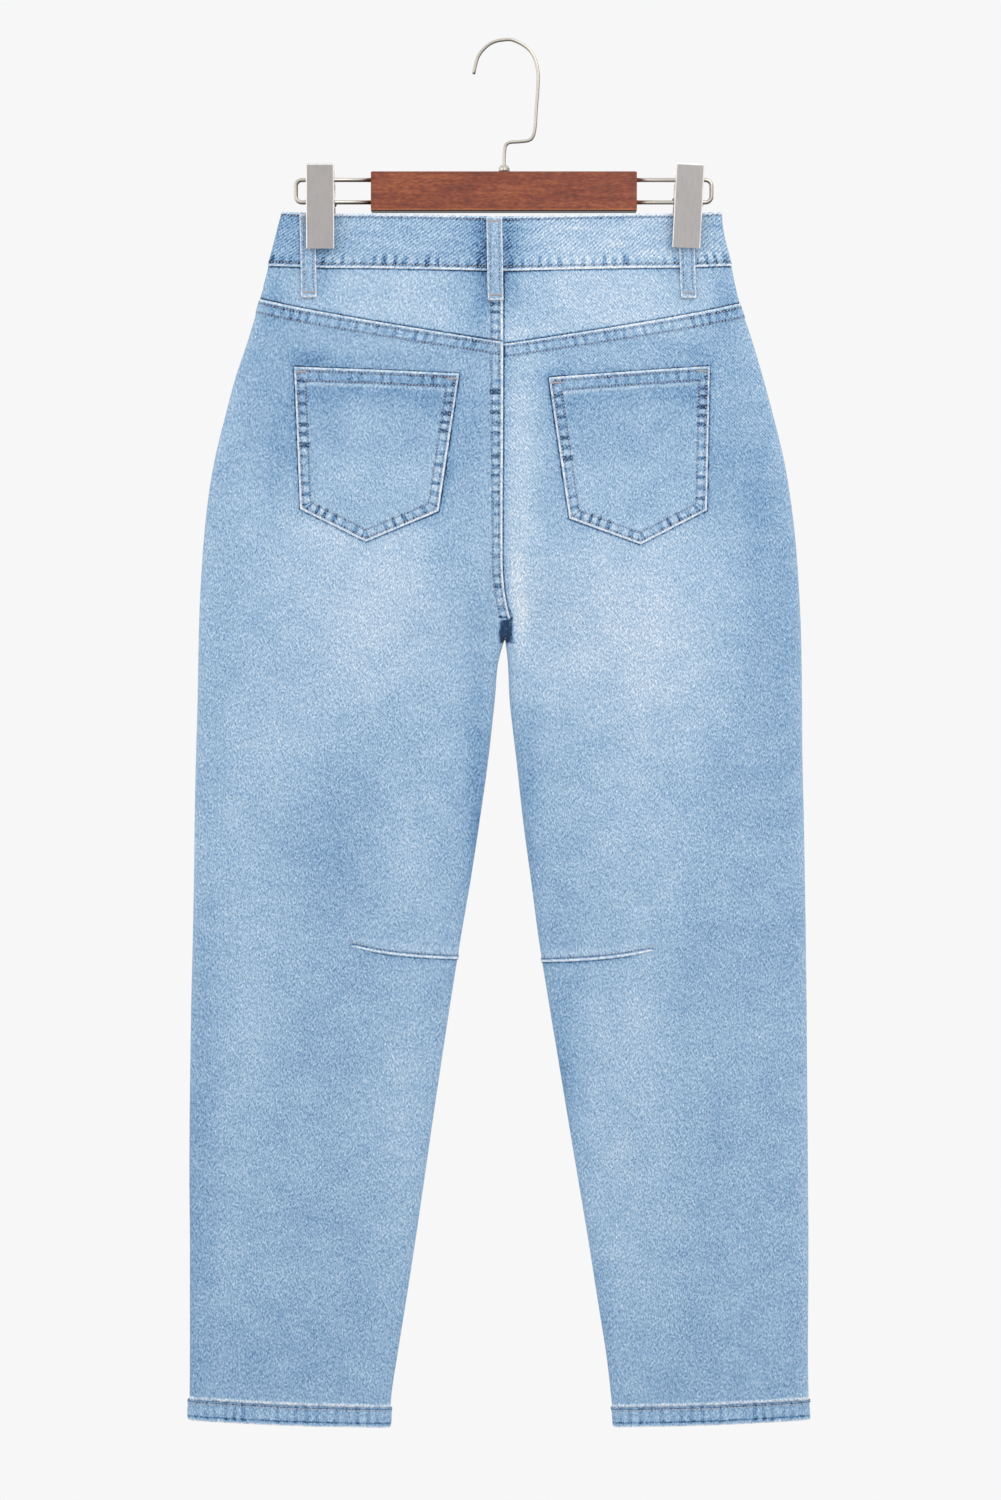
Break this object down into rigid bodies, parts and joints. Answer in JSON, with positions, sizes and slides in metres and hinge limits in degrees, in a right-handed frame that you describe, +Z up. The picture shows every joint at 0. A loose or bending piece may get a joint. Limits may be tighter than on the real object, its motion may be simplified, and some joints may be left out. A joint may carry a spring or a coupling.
{
  "type": "barrel jeans on clip hanger",
  "caption": "Barrel-leg light denim jeans with back yoke, patch pockets and knee darts, hung flat by the waistband from a wooden bar hanger with sliding clips.",
  "frame": {"origin": "inside of the hook's crown, where a rail carries the hanger", "axes": "+Z up, +X to the right in the picture, -Y towards the viewer of the picture: the back of the jeans faces -Y"},
  "size_m": [0.5169, 0.0427, 1.1521],
  "materials": {
    "denim": "light stone-washed blue cotton twill, matt",
    "wood": "red-brown stained hardwood, satin lacquer",
    "steel": "satin nickel plate"
  },
  "bodies": {
    "root": {"back_leg_left": "denim", "back_leg_right": "denim", "front_leg_left": "denim", "front_leg_right": "denim", "yoke_left": "denim", "yoke_right": "denim", "pocket_facing_left": "denim", "pocket_facing_right": "denim", "fly_shield": "denim", "waistband": "denim", "hem_left": "denim", "hem_right": "denim", "back_pocket_left": "denim", "back_pocket_right": "denim", "loop_centre_back": "denim", "loop_back_left": "denim", "loop_back_right": "denim", "loop_front_left": "denim", "loop_front_right": "denim", "waist_button": "steel", "hanger_bar": "wood", "hanger_hook": "steel", "hook_ferrule": "steel", "hanger_wire_left": "steel", "hanger_wire_right": "steel", "clip_spring_left": "steel", "clip_spring_right": "steel", "clip_back_left": "steel", "clip_back_right": "steel", "clip_front_left": "steel", "clip_front_right": "steel"}
  },
  "joints": []
}
